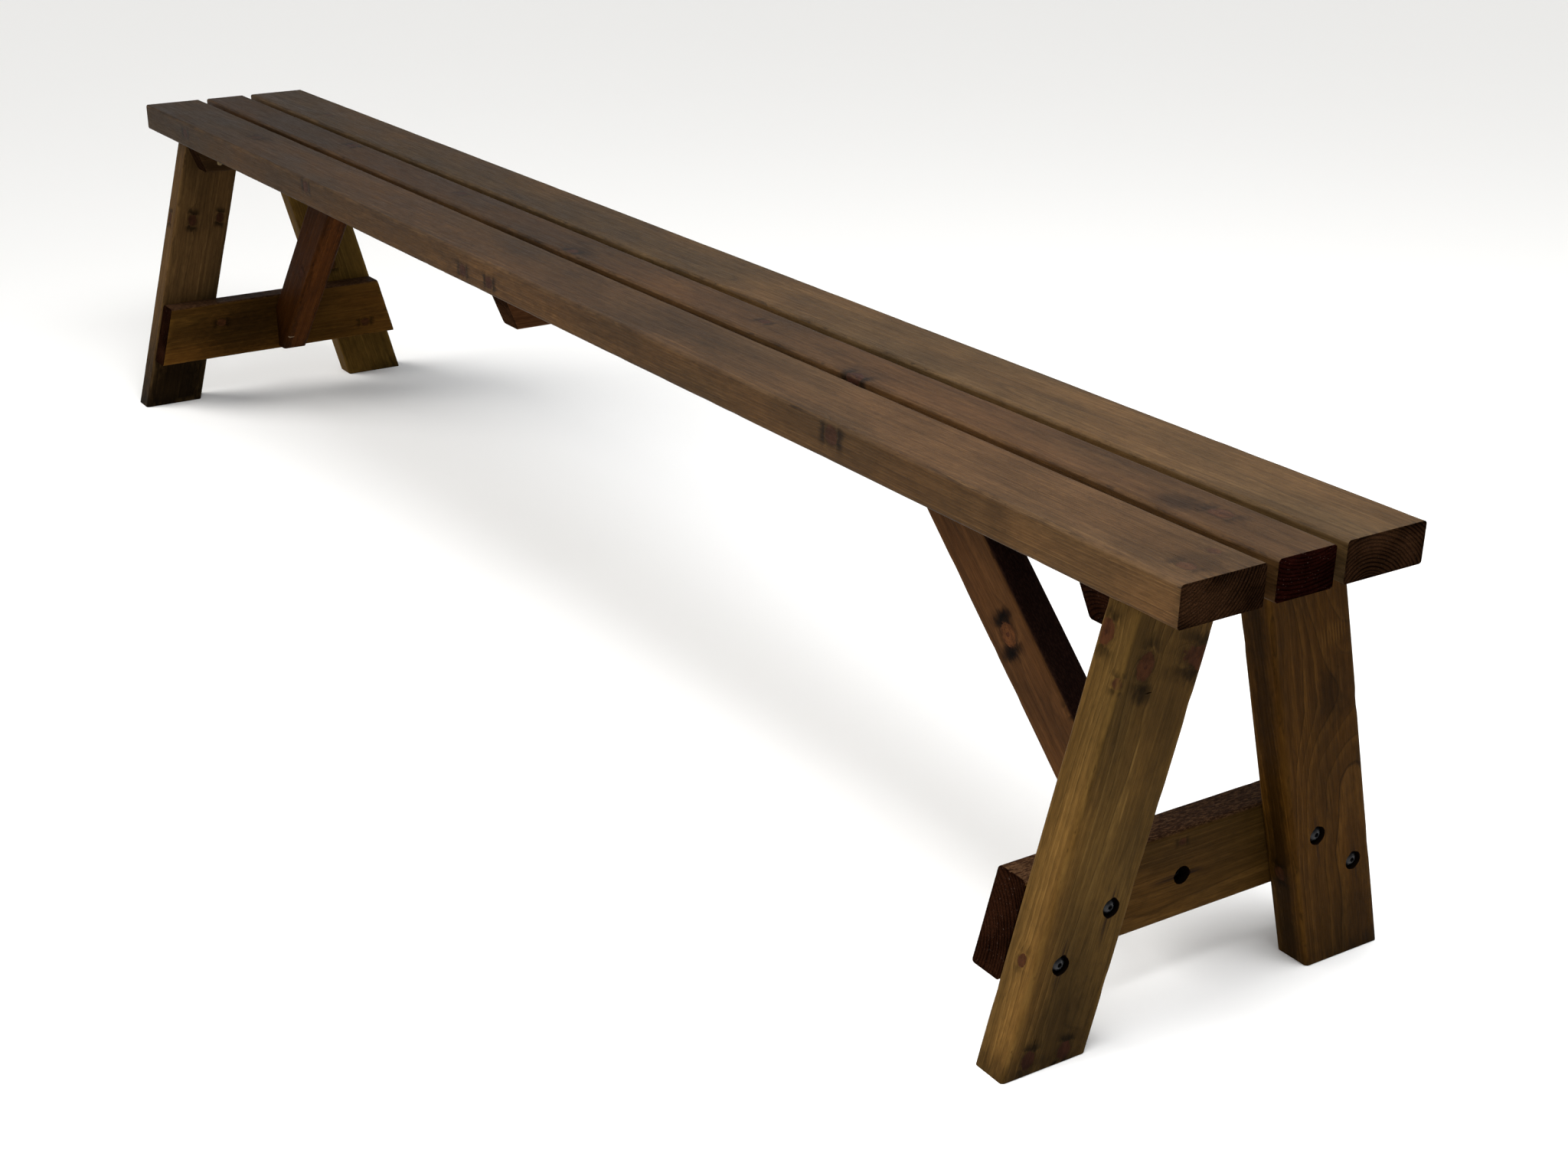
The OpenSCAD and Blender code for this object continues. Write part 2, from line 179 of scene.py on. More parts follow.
class Tree:
    """Short calls for building a material's nodes. A plain number or tuple is set on the socket."""

    def __init__(self, name):
        self.material = bpy.data.materials.new(name)
        self.material.use_nodes = True
        self.nodes = self.material.node_tree.nodes
        self.links = self.material.node_tree.links
        self.shader = next(n for n in self.nodes if n.type == "BSDF_PRINCIPLED")

    def put(self, socket, value):
        if isinstance(value, bpy.types.NodeSocket):
            self.links.new(value, socket)
        elif isinstance(value, (tuple, list)) and len(value) == 3 and socket.type == "RGBA":
            socket.default_value = (*value, 1.0)
        else:
            socket.default_value = value

    def feed(self, name, value):
        self.put(self.shader.inputs[name], value)

    def math(self, operation, a, b=0.0, clamp=False):
        n = self.nodes.new("ShaderNodeMath")
        n.operation = operation
        n.use_clamp = clamp
        self.put(n.inputs[0], a)
        self.put(n.inputs[1], b)
        return n.outputs[0]

    def times(self, a, b):
        return self.math("MULTIPLY", a, b)

    def plus(self, a, b):
        return self.math("ADD", a, b)

    def minus(self, a, b):
        return self.math("SUBTRACT", a, b)

    def vmath(self, operation, a, b=(0.0, 0.0, 0.0)):
        n = self.nodes.new("ShaderNodeVectorMath")
        n.operation = operation
        self.put(n.inputs[0], a)
        if operation == "SCALE":
            self.put(n.inputs["Scale"], b)
        else:
            self.put(n.inputs[1], b)
        return n.outputs["Value" if operation in ("LENGTH", "DOT_PRODUCT") else "Vector"]

    def spread(self, place, centre, scales):
        """How far place is from centre, with each axis scaled."""
        away = self.vmath("SUBTRACT", place, centre)
        return self.vmath("LENGTH", self.vmath("MULTIPLY", away, scales))

    def attribute(self, name, output="Vector"):
        n = self.nodes.new("ShaderNodeAttribute")
        n.attribute_name = name
        return n.outputs[output]

    def noise(self, place, sizes, detail=2.0, roughness=0.5, shift=(0.0, 0.0, 0.0), output="Factor"):
        """Noise whose features are about sizes (mm) along u, v and w."""
        n = self.nodes.new("ShaderNodeTexNoise")
        n.inputs["Scale"].default_value = 1.0
        n.inputs["Detail"].default_value = detail
        n.inputs["Roughness"].default_value = roughness
        scaled = self.vmath("MULTIPLY", place, tuple(1.0 / s for s in sizes))
        self.put(n.inputs["Vector"], self.vmath("ADD", scaled, shift))
        return n.outputs[1] if output == "Color" else n.outputs[0]

    def line_noise(self, value, size, detail=1.0):
        n = self.nodes.new("ShaderNodeTexNoise")
        n.noise_dimensions = "1D"
        n.inputs["Scale"].default_value = 1.0
        n.inputs["Detail"].default_value = detail
        self.put(n.inputs["W"], self.math("MULTIPLY", value, 1.0 / size))
        return n.outputs[0]

    def ease(self, value, low, high, to_low=0.0, to_high=1.0):
        n = self.nodes.new("ShaderNodeMapRange")
        n.interpolation_type = "SMOOTHSTEP"
        self.put(n.inputs["Value"], value)
        self.put(n.inputs["From Min"], low)
        self.put(n.inputs["From Max"], high)
        self.put(n.inputs["To Min"], to_low)
        self.put(n.inputs["To Max"], to_high)
        return n.outputs["Result"]

    def fade(self, value, low, high):
        return self.ease(value, low, high, 1.0, 0.0)

    def mix(self, share, a, b):
        n = self.nodes.new("ShaderNodeMix")
        n.data_type = "RGBA"
        self.put(n.inputs["Factor"], share)
        self.put(n.inputs[6], a)
        self.put(n.inputs[7], b)
        return n.outputs[2]

    def tint(self, colour, amount):
        """Multiplies a colour by a number socket."""
        return self.vmath("SCALE", colour, amount)

    def parts(self, vector):
        n = self.nodes.new("ShaderNodeSeparateXYZ")
        self.put(n.inputs[0], vector)
        return n.outputs

    def join(self, x, y, z):
        n = self.nodes.new("ShaderNodeCombineXYZ")
        for socket, value in zip(n.inputs, (x, y, z)):
            self.put(socket, value)
        return n.outputs[0]

    def bump(self, height, distance, strength):
        n = self.nodes.new("ShaderNodeBump")
        n.inputs["Strength"].default_value = strength
        n.inputs["Distance"].default_value = distance
        self.put(n.inputs["Height"], height)
        self.feed("Normal", n.outputs[0])


class Timber(Tree):
    """Stained softwood: growth rings about a pith outside the board, bent round knots and curls."""

    def __init__(self, name, spec, seed, with_knots):
        super().__init__(name)
        self.spec = spec
        self.shift = tuple(np.random.default_rng(seed).uniform(-50, 50, 3))
        self.grain = self.attribute("grain")
        self.edge = self.attribute("edge", "Fac")
        self.fibre = self.pattern((45, 0.9, 0.9), 4.0)
        self.streak = self.pattern((330, 6, 6))
        self.blotch = self.pattern((130, 48, 48), 4.0)
        self.cloud = self.pattern((420, 120, 120), 2.0, 0.5)
        self.brush = self.pattern((260, 2.2, 2.2), 2.0, 0.5)
        self.fuzz = self.pattern((14, 3.2, 3.2))
        self.smoke = self.pattern((11, 5, 5))
        self.torn = self.minus(self.pattern((4, 4, 4)), 0.5)
        self.bent = self.grain
        for sizes, detail, roughness, reach in (((700, 160, 160), 1.0, 0.4, 30.0),
                                                ((90, 24, 24), 2.0, 0.5, 2.0)):
            sway = self.noise(self.grain, sizes, detail, roughness, self.shift, "Color")
            sway = self.vmath("SUBTRACT", sway, (0.5, 0.5, 0.5))
            self.bent = self.vmath("ADD", self.bent, self.vmath("MULTIPLY", sway, (0.0, reach, reach)))
        self.masks = {}
        for u, v, w, du, dv, dw, radius, dark, deep in spec.get("knots", ()) if with_knots else ():
            self.knot((u, v, w), Vector((du, dv, dw)).normalized(), radius, dark, deep)
        for u, v, w, reach, lift in spec.get("curls", ()):
            away = self.spread(self.grain, (u, v, w), (0.75, 1.0, 1.0))
            rise = self.ease(away, 0.0, reach, lift, 0.0)
            self.bent = self.vmath("ADD", self.bent, self.join(0.0, 0.0, rise))
        self.rings()

    def pattern(self, sizes, detail=3.0, roughness=0.6):
        return self.noise(self.grain, sizes, detail, roughness, self.shift)

    def gather(self, name, mask):
        old = self.masks.get(name)
        self.masks[name] = mask if old is None else self.math("MAXIMUM", old, mask)

    def band(self, value, radius, rise, full, fall, gone):
        """1 between full and fall, 0 before rise and after gone, all in radii."""
        grows = self.ease(value, radius * rise, radius * full)
        return self.times(grows, self.fade(value, radius * fall, radius * gone))

    def knot(self, place, axis, radius, dark, deep):
        """Bends the rings round a knot, and adds its core, its dark lines, its pale halo and its smudges."""
        away = self.vmath("SUBTRACT", self.grain, place)
        along = self.vmath("DOT_PRODUCT", away, tuple(axis))
        flat = self.vmath("SUBTRACT", away, self.vmath("SCALE", tuple(axis), along))
        length = lambda *scales: self.vmath("LENGTH", self.vmath("MULTIPLY", flat, scales))
        distance = length(0.76, 1.0, 1.0)
        nearest = self.math("MAXIMUM", self.times(distance, distance), radius * radius)
        push = self.vmath("SCALE", flat, self.math("DIVIDE", radius * radius, nearest))
        self.bent = self.vmath("SUBTRACT", self.bent, self.vmath("MULTIPLY", push, (0.0, 0.8, 0.8)))
        self.gather("swell", self.fade(distance, radius * 0.6, radius * 3.4))

        ragged = self.plus(distance, self.times(self.torn, radius * 0.7))
        core = self.fade(ragged, radius * 0.88, radius * 1.02)
        rim = self.band(ragged, radius, 0.72, 0.98, 1.0, 1.2)
        years = self.math("FRACT", self.math("DIVIDE", ragged, KNOT_RING))
        years = self.times(core, self.ease(years, 0.5, 0.9, 0.0, 0.5))
        pit = self.ease(ragged, radius * 0.10, radius * 0.30, 0.8, 0.0)
        shade = self.times(core, deep)
        for other in (self.times(rim, max(deep, 0.6)), years, pit):
            shade = self.math("MAXIMUM", shade, other)
        self.gather("core", core)
        self.gather("core_dark", shade)
        self.gather("pale", self.band(ragged, radius, 1.05, 1.3, 1.3, 2.3))

        drift = self.times(self.minus(self.smoke, 0.5), radius * 1.6)
        caps = self.band(self.plus(length(1.0, 0.0, 0.0), drift), radius, 0.95, 1.5, 1.6, 3.0)
        caps = self.times(caps, self.fade(length(0.0, 1.0, 1.0), radius * 0.7, radius * 1.9))
        near = self.times(self.fade(ragged, radius, radius * 1.9), 0.45)
        self.gather("smudge", self.times(self.math("MAXIMUM", caps, near), dark))

    def rings(self):
        """Sets part, from one growth ring to the next, and the darkness of the late wood."""
        pith_v, pith_w = self.spec["pith"]
        radius = self.spread(self.bent, (0.0, pith_v, pith_w), (0.0, 1.0, 1.0))
        if "swell" in self.masks:
            radius = self.plus(radius, self.times(self.masks["swell"], 2.0))
        turns = self.times(radius, 1.0 / self.spec["ring"])
        turns = self.plus(turns, self.times(self.line_noise(radius, 16.0), 2.2))
        self.part = self.math("FRACT", turns)
        year = self.line_noise(self.math("FLOOR", turns), 0.37, 0.0)
        self.year_tone = self.ease(year, 0.25, 0.7, 0.35, 1.0)
        late = self.times(self.ease(self.part, 0.35, 0.84), self.fade(self.part, 0.90, 1.0))
        late = self.times(late, self.year_tone)
        self.late = self.times(late, self.ease(self.fuzz, 0.28, 0.6, 0.45, 1.0))

    def darker(self, colour, mask, amount):
        return self.tint(colour, self.minus(1.0, self.times(mask, amount)))

    def stretched(self, place, centre, length, width, depth_share):
        """Distance from centre where 1 is length away along the grain or width away across it."""
        return self.spread(place, centre, (1.0 / length, 1.0 / width, depth_share / width))


def brighter(colour, amount):
    return tuple(c * amount for c in colour)


def plain_faces(t):
    """Colour of sound wood: early and late wood, then the unevenness of fibre and stain."""
    dashes = t.ease(t.pattern((8, 0.55, 0.55), 2.0), 0.61, 0.72)
    level = t.ease(t.fibre, 0.28, 0.72, 0.84, 1.16)
    swings = ((t.streak, 0.08), (t.blotch, 0.22), (t.cloud, 0.16), (t.brush, 0.07), (t.fuzz, 0.10))
    for pattern, swing in swings:
        level = t.times(level, t.ease(pattern, 0.30, 0.70, 1.0 - swing, 1.0 + swing * 0.9))
    less = lambda mask, amount: t.minus(1.0, t.times(mask, amount))
    level = t.times(level, less(dashes, 0.35))
    late_share = t.times(t.late, t.spec.get("contrast", 0.45))
    late_share = t.plus(late_share, t.ease(t.streak, 0.3, 0.7, 0.16, 0.32))
    face = t.mix(late_share, t.spec["early"], t.spec["late"])
    boundary = t.times(t.ease(t.part, 0.84, 0.93), t.fade(t.part, 0.94, 1.0))
    level = t.times(level, less(t.times(boundary, t.year_tone), t.spec.get("lines", 0.38)))
    cast = t.mix(t.ease(t.cloud, 0.35, 0.65), (0.98, 1.0, 1.02), (1.05, 0.98, 0.92))
    return t.vmath("MULTIPLY", t.tint(face, level), cast), dashes


def growth_marks(t, face):
    """Dark or pale patches, the ribs of wavy grain, and the knots."""
    late_colour = t.spec["late"]
    for u, v, w, length, width, strength in t.spec.get("patches", ()):
        away = t.stretched(t.grain, (u, v, w), length, width, 0.6)
        away = t.plus(away, t.times(t.minus(t.smoke, 0.5), 0.8))
        face = t.darker(face, t.fade(away, 0.25, 1.0), strength)
    for u, v, w, length, width, period in t.spec.get("ribs", ()):
        away = t.stretched(t.grain, (u, v, w), length, width, 0.2)
        wave = t.math("SINE", t.times(t.parts(t.bent)[1], 2 * math.pi / period))
        lines = t.times(t.ease(wave, 0.1, 0.9), t.ease(away, 0.4, 1.0, 0.8, 0.0))
        face = t.mix(lines, face, brighter(late_colour, 1.5))
    if "core" not in t.masks:
        return face
    face = t.tint(face, t.plus(1.0, t.times(t.masks["pale"], 0.22)))
    face = t.darker(face, t.masks["smudge"], 0.80)
    red_brown = tuple(c * k for c, k in zip(late_colour, (1.0, 0.82, 0.75)))
    knot = t.mix(t.masks["core_dark"], t.spec.get("knot", red_brown), (0.020, 0.0065, 0.0035))
    knot = t.tint(knot, t.ease(t.smoke, 0.3, 0.7, 0.7, 1.35))
    return t.mix(t.times(t.masks["core"], 0.95), face, knot)


def wear_marks(t, face):
    """Rubbed edges, lighter from wear and from a painted highlight along the rounded arris, nicked edges,
    pale flecks, chips, and black runs of stain by the screw holes.
    """
    late_colour = t.spec["late"]
    # Edges lighter from wear, and partly a painted highlight where the rounded arris catches light.
    rubbed_and_lit_edge = t.times(t.edge, t.ease(t.pattern((46, 12, 12)), 0.38, 0.62, 0.0, t.spec.get("wear_and_highlight", 0.5)))
    face = t.mix(rubbed_and_lit_edge, face, tuple(min(1.0, c * 1.45) for c in late_colour))
    # Darker along the rounded edges, by the arris amount, in broken streaks.
    arris_darkening = t.times(t.edge, t.ease(t.pattern((70, 4, 4)), 0.40, 0.58, 0.25, 1.0))
    face = t.darker(face, arris_darkening, t.spec.get("arris", 0.0))
    nick = t.ease(t.pattern((17, 5, 5), 3.0, 0.65), 0.58, 0.66)
    face = t.darker(face, t.times(t.edge, nick), 0.7)
    for u, v, w, length, width in t.spec.get("pale", ()):
        away = t.stretched(t.bent, (u, v, w), length, width, 0.2)
        face = t.mix(t.ease(away, 0.35, 1.0, 0.6, 0.0), face, brighter(late_colour, 1.7))
    for u, v, w, length, width, depth in t.spec.get("chips", ()):
        away = t.spread(t.grain, (u, v, w), (1.0 / length, 1.0 / width, 1.0 / depth))
        away = t.plus(away, t.times(t.torn, 0.8))
        face = t.mix(t.ease(away, 0.7, 1.0, 0.8, 0.0), face, BARE_WOOD)
    for u, v, w, length, width in t.spec.get("stains", ()):
        away = t.spread(t.grain, (u, v, w), (1.0 / length, 1.0 / width, 0.05))
        mark = t.times(t.fade(away, 0.2, 1.0), t.ease(t.brush, 0.42, 0.58))
        face = t.mix(t.times(mark, 0.8), face, BLACK_STAIN)
    return face


def sawn_foot_and_sheen(t, face):
    """A face left rough from the saw, which on the right brace's upper face is painted shade under the seat,
    a dirty foot, and a painted sky sheen on the seat's upper face.
    """
    if t.spec.get("sawn"):
        sawn = t.ease(t.times(t.parts(t.grain)[1], 1.0 / t.spec["sawn"]), 0.94, 1.0)
        fleck = t.pattern((5, 1.6, 1.6), 3.0, 0.7)
        dull, bright = t.spec.get("sawn_and_shade_colours", SAWN_COLOURS)
        face = t.mix(sawn, face, t.mix(t.ease(fleck, 0.42, 0.66), dull, bright))
    foot = t.spec.get("foot_dark", 0.0)
    if foot:
        height = t.plus(t.parts(t.grain)[0], t.times(t.fuzz, 20.0))
        face = t.tint(face, t.ease(height, -4.0, foot + 8.0, 0.35, 1.0))
    # Painted sheen: grey added to the seat's upper face in place of the sky's reflection, weaker towards the
    # far end.
    painted_sheen = t.spec.get("painted_sheen", 0.0)
    if painted_sheen:
        upper = t.ease(t.parts(t.grain)[2], 14.5, 18.6, 0.0, 1.0)
        upper = t.times(upper, t.ease(t.blotch, 0.25, 0.75, painted_sheen * 0.7, painted_sheen * 1.3))
        upper = t.times(upper, t.ease(t.parts(t.grain)[0], -1200, 500, 0.62, 1.0))
        face = t.vmath("ADD", face, t.vmath("SCALE", PAINTED_SHEEN_GREY, upper))
    return face


def wood(name, spec, seed):
    """The material of a board's long faces."""
    t = Timber(name, spec, seed, True)
    face, dashes = plain_faces(t)
    face = sawn_foot_and_sheen(t, wear_marks(t, growth_marks(t, face)))
    t.feed("Base Color", face)
    gloss = t.ease(t.fibre, 0.3, 0.7, spec["rough"] + 0.07, spec["rough"] - 0.07)
    gloss = t.math("ADD", gloss, t.times(t.minus(t.blotch, 0.5), 0.30), clamp=True)
    t.feed("Roughness", gloss)
    t.feed("Specular IOR Level", spec["sheen"])
    height = t.plus(t.times(t.late, 0.35), t.times(t.fibre, 0.6))
    height = t.plus(height, t.times(t.fuzz, 0.3))
    height = t.minus(height, t.times(dashes, 0.5))
    if "core_dark" in t.masks:
        height = t.minus(height, t.times(t.masks["core_dark"], 0.4))
    t.bump(height, *WOOD_BUMP)
    return t.material


def cut_wood(name, spec, seed):
    """The material of cut ends and hole walls, which drink the stain: dark, with thin lines at the rings.
    Hole walls are near black: pooled stain and painted shade in the recess.
    """
    t = Timber(name, spec, seed, False)
    pores = t.pattern((3, 0.9, 0.9), 3.0, 0.7)
    saw = t.pattern((3, 40, 1.3), 2.0)
    ground, ring_colour = spec.get("end", END_COLOURS)
    line = t.times(t.ease(t.part, 0.40, 0.78), t.fade(t.part, 0.88, 1.0))
    line = t.times(line, t.ease(t.blotch, 0.36, 0.66, 1.0, 0.55))
    line = t.times(line, t.ease(pores, 0.26, 0.50, 0.55, 1.0))
    butt = t.mix(line, ground, ring_colour)
    butt = t.tint(butt, t.times(t.ease(t.blotch, 0.3, 0.7, 0.5, 1.5), t.ease(pores, 0.34, 0.68, 0.5, 1.6)))
    butt = t.tint(butt, t.ease(saw, 0.3, 0.7, 0.85, 1.15))
    speck = t.ease(t.noise(t.grain, (3, 1.5, 1.5), 1.0, 0.5, (7.0, 3.0, 1.0)), 0.70, 0.76)
    butt = t.mix(t.times(speck, spec.get("specks", 0.35)), butt, (0.085, 0.062, 0.050))
    butt = t.darker(butt, t.edge, 0.35)
    # Hole walls near black: pooled stain and painted shade in the recess.
    t.feed("Base Color", t.mix(t.attribute("hole", "Fac"), butt, HOLE_STAIN_AND_SHADE))
    t.feed("Roughness", t.ease(pores, 0.3, 0.7, 0.85, 0.97))
    t.feed("Specular IOR Level", 0.0)
    height = t.plus(t.times(pores, 1.8), t.times(saw, 1.2))
    t.bump(t.minus(height, t.times(line, 0.8)), *WOOD_BUMP)
    return t.material


def black_screw():
    t = Tree("black_coated_steel")
    coords = t.nodes.new("ShaderNodeTexCoord").outputs["Object"]
    fine = t.noise(coords, (0.004, 0.004, 0.004), 3.0, 0.6)
    base = t.mix(t.ease(fine, 0.45, 0.75), (0.0022, 0.0022, 0.0032), (0.006, 0.0055, 0.006))
    t.feed("Base Color", base)
    t.feed("Roughness", t.ease(fine, 0.3, 0.7, 0.30, 0.48))
    t.feed("Specular IOR Level", 0.22)
    t.bump(fine, 0.0001, 0.25)
    return t.material


def plated_screw():
    t = Tree("yellow_plated_steel")
    coords = t.nodes.new("ShaderNodeTexCoord").outputs["Object"]
    fine = t.noise(coords, (0.0025, 0.0025, 0.0025), 3.0, 0.6)
    dull = t.noise(coords, (0.012, 0.012, 0.012), 2.0, 0.5)
    base = t.mix(t.ease(dull, 0.35, 0.7), (0.34, 0.26, 0.13), (0.16, 0.115, 0.06))
    t.feed("Base Color", base)
    t.feed("Metallic", 1.0)
    t.feed("Roughness", t.ease(fine, 0.3, 0.7, 0.30, 0.50))
    t.bump(fine, 0.0001, 0.3)
    return t.material


# ---- board meshes ----

def section(width, thickness, radius):
    """Points round a board's cross-section, their outward directions, and how far each is on an edge."""
    half_v, half_w = width / 2 - radius, thickness / 2 - radius
    points, out, edge = [], [], []
    corners = ((1, 1), (-1, 1), (-1, -1), (1, -1))
    for i, (sv, sw) in enumerate(corners):
        for step in range(CORNER_STEPS + 1):
            angle = math.pi / 2 * (i + step / CORNER_STEPS)
            direction = (math.cos(angle), math.sin(angle))
            points.append((sv * half_v + radius * direction[0], sw * half_w + radius * direction[1]))
            out.append(direction)
            edge.append(math.sin(math.pi * step / CORNER_STEPS))
        next_v, next_w = corners[(i + 1) % 4]
        start = vec(*points[-1])
        finish = vec(next_v * half_v, next_w * half_w) + radius * vec(*direction)
        count = max(3, round(float(np.linalg.norm(finish - start)) / 2.6))
        for step in range(1, count):
            points.append(tuple(start + (finish - start) * step / count))
            out.append(direction)
            edge.append(0.0)
    return np.array(points), np.array(out), np.array(edge)


class Board:
    """One length of timber: an origin, three axes, a section and two cutting planes."""

    def __init__(self, node, origin, along, across, facing, width, thickness, low_cut, high_cut):
        self.node = node
        self.origin = vec(*origin)
        self.u, self.v, self.w = vec(*along), vec(*across), vec(*facing)
        self.width, self.thickness = width, thickness
        self.radius = SEAT_EDGE if "plank" in node else FRAME_EDGE
        self.cuts = low_cut, high_cut
        self.cutters = []
        self.tears = []
        self.level_foot = None

    def reach(self, which, v, w):
        point, normal = self.cuts[which]
        point, normal = vec(*point), vec(*normal)
        gap = (point - self.origin) @ normal - v * (self.v @ normal) - w * (self.w @ normal)
        return gap / (self.u @ normal)

    def local(self, places):
        away = np.asarray(places) - self.origin
        return np.stack([away @ self.u, away @ self.v, away @ self.w], -1)

    def world(self, u, v, w):
        parts = [np.multiply.outer(size, axis) for size, axis in ((u, self.u), (v, self.v), (w, self.w))]
        return self.origin + parts[0] + parts[1] + parts[2]

    def rows(self, points, out):
        """Cross-sections from butt to butt: points, share of the length, and how far out on the butt."""
        length = abs(self.reach(1, 0, 0) - self.reach(0, 0, 0))
        half_spine = (self.width - self.thickness) / 2
        spine = np.stack([np.clip(points[:, 0], -half_spine, half_spine), np.zeros(len(points))], -1)
        rim = points - out * END_EASE
        butt = [(spine + (rim - spine) * share, share) for share in np.linspace(0.10, 1.0, 8)]
        ease = END_EASE / length
        rows = [(flat, 0.0, share) for flat, share in butt]
        for share in np.linspace(0, 1, max(12, round(length / RING_STEP)) + 1):
            rows.append((points, min(max(share, ease), 1 - ease), None))
        return rows + [(flat, 1.0, share) for flat, share in butt[::-1]]

    def inset(self, seed, spec, u, v, w, edge):
        """How far planing, dents and knots take the long faces in or out."""
        wave = 0.18 * (1 + smooth_noise(seed, u, 190)) / 2
        wave = wave + 0.10 * (1 + smooth_noise(seed + 1, u + v, 47)) / 2
        dent = smooth_noise(seed + 2, u + 400 * np.sign(v) + 900 * np.sign(w), 23)
        soft = (1 + smooth_noise(seed + 3, u + 300 * np.sign(v) + 700 * np.sign(w), 130)) / 2
        inset = wave + edge * (0.35 * soft + 1.3 * np.clip(dent - 0.45, 0, 1))
        for ku, kv, kw, du, dv, dw, radius, dark, deep in spec.get("knots", ()):
            far = np.sqrt((u - ku) ** 2 + (v - kv) ** 2 + (w - kw) ** 2)
            inset = inset - 0.22 * np.exp(-(far / (radius * 1.1)) ** 2)
        return np.maximum(inset, 0.0)

    def build(self, seed, spec, holes):
        points, out, edge = section(self.width, self.thickness, self.radius)
        count = len(points)
        rows = self.rows(points, out)
        places = []
        for flat, share, cap in rows:
            v, w = flat[:, 0].copy(), flat[:, 1].copy()
            start, stop = self.reach(0, v, w), self.reach(1, v, w)
            u = start + (stop - start) * share
            if cap is None:
                inset = self.inset(seed, spec, u, v, w, edge)
                v, w = v - out[:, 0] * inset, w - out[:, 1] * inset
            else:
                bite = 0.12 * (1 + smooth_noise(seed + 5, w * 3 + v * 0.4, 3.1)) * cap
                u = u + (bite if share == 0 else -bite)
            places.append(self.world(u, v, w))
        last = (len(rows) - 1) * count
        faces = [(a + i, a + (i + 1) % count, a + count + (i + 1) % count, a + count + i)
                 for a in range(0, last, count) for i in range(count)]
        faces.append(tuple(range(count))[::-1])
        faces.append(tuple(range(last, last + count)))
        mesh = bpy.data.meshes.new("timber_" + self.node)
        mesh.from_pydata((np.concatenate(places) * MM).tolist(), [], faces)
        mesh.update()
        piece = placed("timber_" + self.node, mesh)
        bpy.context.view_layer.update()
        if self.volume(mesh) < 0:
            mesh.flip_normals()
        self.drill(piece, self.cutters)
        self.drill(piece, self.tears)
        self.tidy(piece.data)
        self.mark(piece.data, holes)
        piece.data.shade_smooth()
        piece.data.set_sharp_from_angle(angle=math.radians(32))
        return piece

    @staticmethod
    def volume(mesh):
        mesh.calc_loop_triangles()
        corners = np.array([[mesh.vertices[i].co[:] for i in tri.vertices] for tri in mesh.loop_triangles[:]])
        return float(np.einsum("ij,ij->", corners[:, 0], np.cross(corners[:, 1], corners[:, 2])))

    @staticmethod
    def tidy(mesh):
        """Melts away the slivers that the hole cutting leaves."""
        melt = bmesh.new()
        melt.from_mesh(mesh)
        bmesh.ops.remove_doubles(melt, verts=melt.verts, dist=SLIVER * MM)
        bmesh.ops.dissolve_degenerate(melt, edges=melt.edges, dist=SLIVER * MM)
        bmesh.ops.triangulate(melt, faces=[f for f in melt.faces if len(f.verts) > 4])
        bmesh.ops.dissolve_degenerate(melt, edges=melt.edges, dist=SLIVER / 2 * MM)
        melt.to_mesh(mesh)
        melt.free()

    def drill(self, piece, cutters):
        if not cutters:
            return
        verts, faces = [], []
        for shape_verts, shape_faces in cutters:
            base = len(verts)
            verts += [tuple(np.asarray(p) * MM) for p in shape_verts]
            faces += [tuple(base + i for i in face) for face in shape_faces]
        mesh = bpy.data.meshes.new("cutter")
        mesh.from_pydata(verts, [], faces)
        tool = placed("cutter", mesh)
        cut = piece.modifiers.new("holes", "BOOLEAN")
        cut.operation = "DIFFERENCE"
        cut.solver = "MANIFOLD"
        cut.object = tool
        bpy.context.view_layer.update()
        done = bpy.data.meshes.new_from_object(piece.evaluated_get(bpy.context.evaluated_depsgraph_get()))
        old = piece.data
        piece.modifiers.remove(cut)
        piece.data = done
        bpy.data.meshes.remove(old)
        bpy.data.objects.remove(tool)
        bpy.data.meshes.remove(mesh)
        done.name = piece.name

    def mark(self, mesh, holes):
        """Writes the board's own coordinates and its end, edge and hole marks onto its mesh."""
        places = np.empty(len(mesh.vertices) * 3)
        mesh.vertices.foreach_get("co", places)
        local = self.local(places.reshape(-1, 3) / MM)
        grain = mesh.attributes.new("grain", "FLOAT_VECTOR", "POINT")
        grain.data.foreach_set("vector", local.ravel())
        near_v = np.clip((np.abs(local[:, 1]) - self.width / 2 + self.radius + 0.6) / self.radius, 0, 1)
        near_w = np.clip((np.abs(local[:, 2]) - self.thickness / 2 + self.radius + 0.6) / self.radius, 0, 1)
        low = local[:, 0] - self.reach(0, local[:, 1], local[:, 2])
        high = self.reach(1, local[:, 1], local[:, 2]) - local[:, 0]
        near_u = np.clip(1 - np.minimum(low, high) / 2.5, 0, 1) * np.maximum(near_v, near_w)
        edge = mesh.attributes.new("edge", "FLOAT", "POINT")
        edge.data.foreach_set("value", np.maximum(near_v * near_w, near_u).ravel())
        normals = np.empty(len(mesh.polygons) * 3)
        centres = np.empty(len(mesh.polygons) * 3)
        mesh.polygons.foreach_get("normal", normals)
        mesh.polygons.foreach_get("center", centres)
        normals, centres = normals.reshape(-1, 3), centres.reshape(-1, 3) / MM
        middle = self.local(centres)
        ends = np.abs(normals @ self.u) > 0.55
        inside = np.abs(middle[:, 1]) < self.width / 2 - SKIN
        inside &= np.abs(middle[:, 2]) < self.thickness / 2 - SKIN
        inside &= middle[:, 0] - self.reach(0, middle[:, 1], middle[:, 2]) > SKIN
